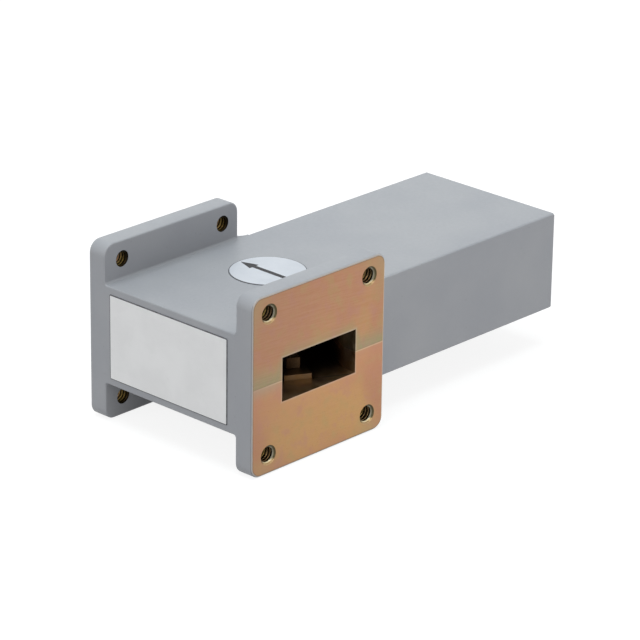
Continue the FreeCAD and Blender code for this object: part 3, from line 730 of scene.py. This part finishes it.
def pocket_cover(node, up):
    """One cover in its pocket, with its rounded and dimpled side towards up."""
    low, high = (Vector(corner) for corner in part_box(node))
    middle = (low + high) / 2
    radius = (high.x - low.x) / 2
    bpy.ops.object.select_all(action="DESELECT")
    bpy.ops.mesh.primitive_cylinder_add(vertices=96, radius=radius, depth=high.z - low.z, location=middle)
    cover = bpy.context.active_object
    cover.name = f"{node}_pressed"
    open_to_edit(cover)
    pick(cover, "FACE", lambda face: face.normal.z * up > 0.9)
    bpy.ops.mesh.bevel(offset=COVER_RIM, segments=3)
    pick(
        cover, "FACE",
        lambda face: face.normal.z * up > 0.9 and face.calc_center_median().xy.length < radius / 2,
    )
    bpy.ops.mesh.inset(thickness=radius - COVER_RIM - COVER_DIMPLE_RADIUS)
    bpy.ops.mesh.inset(thickness=COVER_DIMPLE_SLOPE)
    bpy.ops.transform.translate(value=(0, 0, -up * COVER_DIMPLE_DEPTH))
    close_edit()
    apply_all(cover)
    soften(cover)
    cover.data.materials.append(cover_enamel)
    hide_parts(node)
    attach(cover, "root")


pocket_cover("upper_pocket_cover", 1)
pocket_cover("lower_pocket_cover", -1)

# Assembly screws
# Steel socket head cap screws, put in from below in counterbores to close the body. Their heads
# are knurled, and the enamel that went over them is chipped through to the steel in small spots.
HEAD_RADIUS = 2.325 * MM
HEAD_HEIGHT = 2.84 * MM
SHANK_RADIUS = 1.4225 * MM
KEY_WIDTH = 2.38 * MM
KEY_DEPTH = 1.5 * MM
HEAD_CHAMFER = 0.25 * MM
KNURL_FACES = 40
KNURL_DEPTH = 0.07 * MM
KNURL_LAND = 0.06 * MM
SCREWS_PER_ROW = 3
FIRST_SCREW_Y = 26.0 * MM
SCREW_TURN = math.radians(47)

screw_low, screw_high = (Vector(corner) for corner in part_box("assembly_screws"))
seat_z = screw_low.z + HEAD_HEIGHT
row_x = (screw_low.x + HEAD_RADIUS, screw_high.x - HEAD_RADIUS)
row_step = (screw_high.y - HEAD_RADIUS - FIRST_SCREW_Y) / (SCREWS_PER_ROW - 1)
screw_places = [(x, FIRST_SCREW_Y + number * row_step) for x in row_x for number in range(SCREWS_PER_ROW)]
screw_places.append((sum(row_x) / 2, screw_low.y + HEAD_RADIUS))

screw_enamel, tree, shader = new_finish("screw_enamel", {"IOR": 1.5})
skin = wear(tree, enamel_skin, {"Paint": (0.33, 0.345, 0.37, 1), "Nibs": 0.3})
screw_chips = between(tree, cloud(tree, surface_place(tree), 1.8, 4.0, 0.65), 0.56, 0.6)
screw_tone = tint(tree, screw_chips, skin["Color"], (0.5, 0.5, 0.5, 1))
feed(tree, shader.inputs["Metallic"], screw_chips)
finish_with(tree, shader, screw_tone, skin["Roughness"], skin["Height"], ENAMEL_RELIEF)

bpy.ops.object.select_all(action="DESELECT")
bpy.ops.mesh.primitive_cylinder_add(
    vertices=KNURL_FACES, radius=HEAD_RADIUS, depth=HEAD_HEIGHT, location=(0, 0, -HEAD_HEIGHT / 2)
)
cap_screw = bpy.context.active_object
apply_all(cap_screw)
open_to_edit(cap_screw)
pick(cap_screw, "FACE", lambda face: face.normal.z > 0.9)
bpy.ops.mesh.inset(thickness=HEAD_RADIUS - SHANK_RADIUS)
bpy.ops.mesh.extrude_region_move(TRANSFORM_OT_translate={"value": (0, 0, screw_high.z - seat_z)})
pick(cap_screw, "FACE", lambda face: abs(face.normal.z) < 0.1 and face.calc_center_median().z < 0)
bpy.ops.mesh.inset(thickness=KNURL_LAND, use_individual=True)
bpy.ops.transform.shrink_fatten(value=-KNURL_DEPTH)
pick(cap_screw, "EDGE", lambda edge: all(abs(end.co.z + HEAD_HEIGHT) < FACE_SLACK for end in edge.verts))
bpy.ops.mesh.bevel(offset=HEAD_CHAMFER, segments=3)
close_edit()
bpy.ops.object.select_all(action="DESELECT")
bpy.ops.mesh.primitive_cylinder_add(
    vertices=6, radius=KEY_WIDTH / math.sqrt(3), depth=2 * KEY_DEPTH, location=(0, 0, -HEAD_HEIGHT)
)
key = bpy.context.active_object
cut_away(cap_screw, key)
soften(cap_screw, 40)
cap_screw.data.materials.append(screw_enamel)
screws = []
for number, (x, y) in enumerate(screw_places):
    screw = copy_of(cap_screw, "screw") if number else cap_screw
    screw.location = (x, y, seat_z)
    screw.rotation_euler.z = SCREW_TURN * number
    screws.append(screw)
join_all(screws)
cap_screw.name = "socket_head_screws"
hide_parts("assembly_screws")
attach(cap_screw, "root")

# Side label
# Silvery white film on the narrow face between the flanges, cut with rounded corners and pressed
# on by hand. Its face is plain, with a thin dark border at the edge.
LABEL_CORNER = 0.35 * MM
LABEL_THICKNESS = 0.15 * MM
LABEL_TOP_ROUND = 0.13 * MM
LABEL_BORDER = 0.11 * MM


def label_film(name, pale, deep):
    """Hazy, slightly dented and scuffed film between two tones, under a thin gloss."""
    constants = {"Metallic": 0.0, "IOR": 1.5, "Coat Weight": 0.25, "Coat Roughness": 0.2}
    finish, tree, shader = new_finish(name, constants)
    place = surface_place(tree)
    haze = cloud(tree, place, 0.12, 4.0, 0.6)
    dents = cloud(tree, place, 0.55, 3.0, 0.5)
    scuffs = cloud(tree, surface_place(tree, (0, 30, 10), (0.25, 3, 3)), 1.2, 4.0, 0.7)
    tone = tint(tree, between(tree, haze, 0.3, 0.7), deep, pale)
    worn_tone = tint(tree, 1.0, tone, (0.75, 0.75, 0.75, 1), "MULTIPLY")
    tone = tint(tree, between(tree, scuffs, 0.62, 0.8, 0.0, 0.5), tone, worn_tone)
    finish_with(tree, shader, tone, between(tree, dents, 0.3, 0.7, 0.36, 0.5), dents, 0.03 * MM)
    return finish


side_film = label_film("side_film", (0.9, 0.9, 0.91, 1), (0.85, 0.85, 0.86, 1))
label_edge, tree, shader = new_finish("label_edge", {"Metallic": 0.0})
edge_noise = cloud(tree, surface_place(tree), 0.8, 4.0, 0.6)
edge_share = between(tree, edge_noise, 0.35, 0.65)
edge_tone = tint(tree, edge_share, (0.05, 0.052, 0.06, 1), (0.13, 0.135, 0.15, 1))
finish_with(tree, shader, edge_tone, between(tree, edge_noise, 0.35, 0.65, 0.5, 0.75))


def dress_label(label, node, film, outward):
    """Film on the label's face, with a dark border and cut edge round it."""
    label.data.materials.append(label_edge)
    label.data.materials.append(film)
    open_to_edit(label)
    pick(label, "FACE", lambda face: face.normal.dot(outward) > 0.95)
    bpy.ops.mesh.inset(thickness=LABEL_BORDER)
    label.active_material_index = 1
    bpy.ops.object.material_slot_assign()
    close_edit()
    soften(label)
    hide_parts(node)
    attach(label, "root")


low, high = (Vector(corner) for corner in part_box("side_label"))
low.y = high.y - LABEL_THICKNESS
bpy.ops.object.select_all(action="DESELECT")
bpy.ops.mesh.primitive_cube_add(size=1, location=(low + high) / 2)
side_label = bpy.context.active_object
side_label.name = "side_label_film"
side_label.scale = high - low
apply_all(side_label)
open_to_edit(side_label)
pick(side_label, "EDGE", lambda edge: abs(edge.verts[0].co.y - edge.verts[1].co.y) > 0.1 * MM)
bpy.ops.mesh.bevel(offset=LABEL_CORNER, segments=5)
pick(side_label, "EDGE", lambda edge: all(end.co.y < low.y + FACE_SLACK for end in edge.verts))
bpy.ops.mesh.bevel(offset=LABEL_TOP_ROUND, segments=2)
close_edit()
dress_label(side_label, "side_label", side_film, Vector((0, -1, 0)))

# Round label
# Film disc over the upper magnet pocket, trimmed a little small and stuck on a little off the
# middle. Its arrow, in black ink that stands slightly proud, points the way that the wave passes,
# from the input port to the output port.
LABEL_TRIM = 0.24 * MM
LABEL_OFF_MIDDLE = (0.15 * MM, -0.17 * MM, 0)
INK_HEIGHT = 0.02 * MM
INK_SINK = 0.002 * MM
ARROW_LENGTH = 15.5 * MM
ARROW_HEAD_LENGTH = 4.1 * MM
ARROW_HEAD_WIDTH = 2.85 * MM
ARROW_SHAFT_WIDTH = 1.2 * MM
ARROW_HEAD_BASE = 0.01 * MM
ARROW_POINT = 0.04
ARROW_TIP_X = -7.8 * MM
ARROW_OFF_Y = -0.6 * MM
ARROW_TURN = math.radians(-0.3)

low, high = (Vector(corner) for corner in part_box("arrow_label"))
high.z = low.z + LABEL_THICKNESS
middle = (low + high) / 2
trimmed_radius = (high.x - low.x) / 2 - LABEL_TRIM
bpy.ops.object.select_all(action="DESELECT")
bpy.ops.mesh.primitive_cylinder_add(
    vertices=128, radius=trimmed_radius, depth=high.z - low.z, location=middle + Vector(LABEL_OFF_MIDDLE)
)
arrow_label = bpy.context.active_object
arrow_label.name = "arrow_label_film"
apply_all(arrow_label)
open_to_edit(arrow_label)
pick(arrow_label, "EDGE", lambda edge: all(end.co.z > high.z - FACE_SLACK for end in edge.verts))
bpy.ops.mesh.bevel(offset=LABEL_TOP_ROUND, segments=2)
close_edit()
# A darker and bluer copy of the side label's film, darker as painted shade against the stronger light from
# above
round_film_shaded = label_film("round_film_shaded", (0.6, 0.63, 0.69, 1), (0.55, 0.58, 0.64, 1))
dress_label(arrow_label, "arrow_label", round_film_shaded, Vector((0, 0, 1)))

black_ink, tree, shader = new_finish("black_ink", {"Metallic": 0.0, "Specular IOR Level": 0.2})
ink_grain = cloud(tree, surface_place(tree), 5.0, 4.0, 0.7)
ink_share = between(tree, ink_grain, 0.4, 0.75)
ink_tone = tint(tree, ink_share, (0.012, 0.012, 0.014, 1), (0.09, 0.09, 0.1, 1))
finish_with(tree, shader, ink_tone, between(tree, ink_grain, 0.3, 0.7, 0.45, 0.65))

shaft_length = ARROW_LENGTH - ARROW_HEAD_LENGTH
bpy.ops.object.select_all(action="DESELECT")
bpy.ops.mesh.primitive_plane_add(size=1)
arrow = bpy.context.active_object
arrow.name = "arrow_ink"
open_to_edit(arrow)
bpy.ops.transform.resize(value=(shaft_length, ARROW_SHAFT_WIDTH, 1))
bpy.ops.transform.translate(value=(shaft_length / 2, 0, 0))
pick(arrow, "EDGE", lambda edge: all(end.co.x < 0.1 * MM for end in edge.verts))
bpy.ops.mesh.extrude_region_move(TRANSFORM_OT_translate={"value": (-ARROW_HEAD_BASE, 0, 0)})
bpy.ops.transform.resize(value=(1, ARROW_HEAD_WIDTH / ARROW_SHAFT_WIDTH, 1), center_override=(0, 0, 0))
bpy.ops.mesh.extrude_region_move(TRANSFORM_OT_translate={"value": (-ARROW_HEAD_LENGTH, 0, 0)})
bpy.ops.transform.resize(value=(1, ARROW_POINT, 1), center_override=(0, 0, 0))
bpy.ops.mesh.select_all(action="SELECT")
bpy.ops.mesh.extrude_region_move(TRANSFORM_OT_translate={"value": (0, 0, INK_HEIGHT)})
bpy.ops.mesh.select_all(action="SELECT")
bpy.ops.mesh.normals_make_consistent(inside=False)
close_edit()
neck_x = middle.x + ARROW_TIP_X + ARROW_HEAD_LENGTH
arrow.location = (neck_x, middle.y + ARROW_OFF_Y, high.z - INK_SINK)
arrow.rotation_euler.z = ARROW_TURN
apply_all(arrow)
arrow.data.materials.append(black_ink)
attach(arrow, "root")

# Floor
# Wide white disc under the device. The camera, reflections and glass see it glow nearly white
# with a thin veil that takes a faint shadow, and the device is lit by it as by plain grey card.
FLOOR_RADIUS = 4.0
FLOOR_GAP = 0.05 * MM
FLOOR_CARD = (0.4, 0.4, 0.4, 1)
FLOOR_VEIL = (0.24, 0.24, 0.24, 1)
FLOOR_GLOW = 0.86


def seen_directly(tree):
    """1 for what the camera, a reflection or glass sees, and 0 for light on other things."""
    path = tree.nodes.new("ShaderNodeLightPath")
    seen = work(tree, "MAXIMUM", path.outputs["Is Camera Ray"], path.outputs["Is Glossy Ray"])
    return work(tree, "MAXIMUM", seen, path.outputs["Is Transmission Ray"])


bpy.ops.object.select_all(action="DESELECT")
bpy.ops.mesh.primitive_circle_add(vertices=96, radius=FLOOR_RADIUS, fill_type="NGON")
floor = bpy.context.active_object
floor.name = "studio_floor"
floor.location.z = cad_box[0][2] - FLOOR_GAP
apply_all(floor)
floor_white = bpy.data.materials.new("floor_white")
floor_white.use_nodes = True
tree = floor_white.node_tree
tree.nodes.clear()
card = put(tree, "ShaderNodeBsdfDiffuse", {"Color": FLOOR_CARD}).outputs["BSDF"]
veil = put(tree, "ShaderNodeBsdfDiffuse", {"Color": FLOOR_VEIL}).outputs["BSDF"]
glow = put(tree, "ShaderNodeEmission", {"Color": (1, 1, 1, 1), "Strength": FLOOR_GLOW}).outputs["Emission"]
glowing_veil = put(tree, "ShaderNodeAddShader", {0: veil, 1: glow}).outputs["Shader"]
choice_sockets = {0: seen_directly(tree), 1: card, 2: glowing_veil}
choice = put(tree, "ShaderNodeMixShader", choice_sockets).outputs["Shader"]
put(tree, "ShaderNodeOutputMaterial", {"Surface": choice})
floor.data.materials.append(floor_white)

# Studio light
# An even tent of dim white light, seen as plain white, with large soft lamps on the label's side,
# on the input flange's side and overhead, and a weak one behind that gives the tops their sheen.
# The lamps' places and sizes are in metres, and their powers in watts.
TENT_LIGHT = 0.35
WARM_WHITE = (1.0, 0.985, 0.97)
COOL_WHITE = (0.9, 0.985, 1.0)
world = bpy.data.worlds.new("tent")
bpy.context.scene.world = world
world.use_nodes = True
tree = world.node_tree
tent = tree.nodes["Background"].inputs
feed(tree, tent["Color"], (1, 1, 1, 1))
feed(tree, tent["Strength"], work(tree, "MULTIPLY_ADD", seen_directly(tree), 1 - TENT_LIGHT, TENT_LIGHT))

subject = Vector([(low + high) / 2 for low, high in zip(*cad_box)])
for name, place, power, size, colour in (
    ("label_side_lamp", (-0.15, -1.25, 0.35), 5.3, 1.1, WARM_WHITE),
    ("flange_side_lamp", (1.25, -0.1, 0.1), 6.8, 0.6, WARM_WHITE),
    ("top_lamp", (-0.05, -0.05, 1.3), 10.2, 0.9, COOL_WHITE),
    ("back_lamp", (-1.0, 1.1, 0.75), 2.4, 1.2, (1.0, 1.0, 1.0)),
):
    lamp = bpy.data.objects.new(name, bpy.data.lights.new(name, "AREA"))
    bpy.context.collection.objects.link(lamp)
    lamp.data.energy = power
    lamp.data.size = size
    lamp.data.color = colour
    lamp.location = place
    lamp.rotation_euler = (subject - lamp.location).to_track_quat("-Z", "Y").to_euler()

# Camera
# Where the photograph was taken from, worked out from the guide's and flange's known sizes. The
# place is in metres, the lens in millimetres, and the turns are in degrees.
CAMERA_PLACE = (0.4779, -0.50947, 0.29269)
CAMERA_AZIMUTH = 43.166
CAMERA_ELEVATION = 21.998
CAMERA_ROLL = 0.813
CAMERA_LENS = 198.24
CAMERA_SENSOR = 36
camera = bpy.data.objects.new("camera", bpy.data.cameras.new("camera"))
bpy.context.collection.objects.link(camera)
camera.data.lens = CAMERA_LENS
camera.data.sensor_width = CAMERA_SENSOR
camera.data.clip_start = 0.01
camera.data.clip_end = 20
heading = Matrix.Rotation(math.radians(CAMERA_AZIMUTH), 4, "Z")
tilt = Matrix.Rotation(math.radians(90 - CAMERA_ELEVATION), 4, "X")
roll = Matrix.Rotation(math.radians(CAMERA_ROLL), 4, "Z")
camera.matrix_world = Matrix.Translation(CAMERA_PLACE) @ heading @ tilt @ roll
bpy.context.scene.camera = camera
bpy.context.scene.view_settings.view_transform = "Standard"
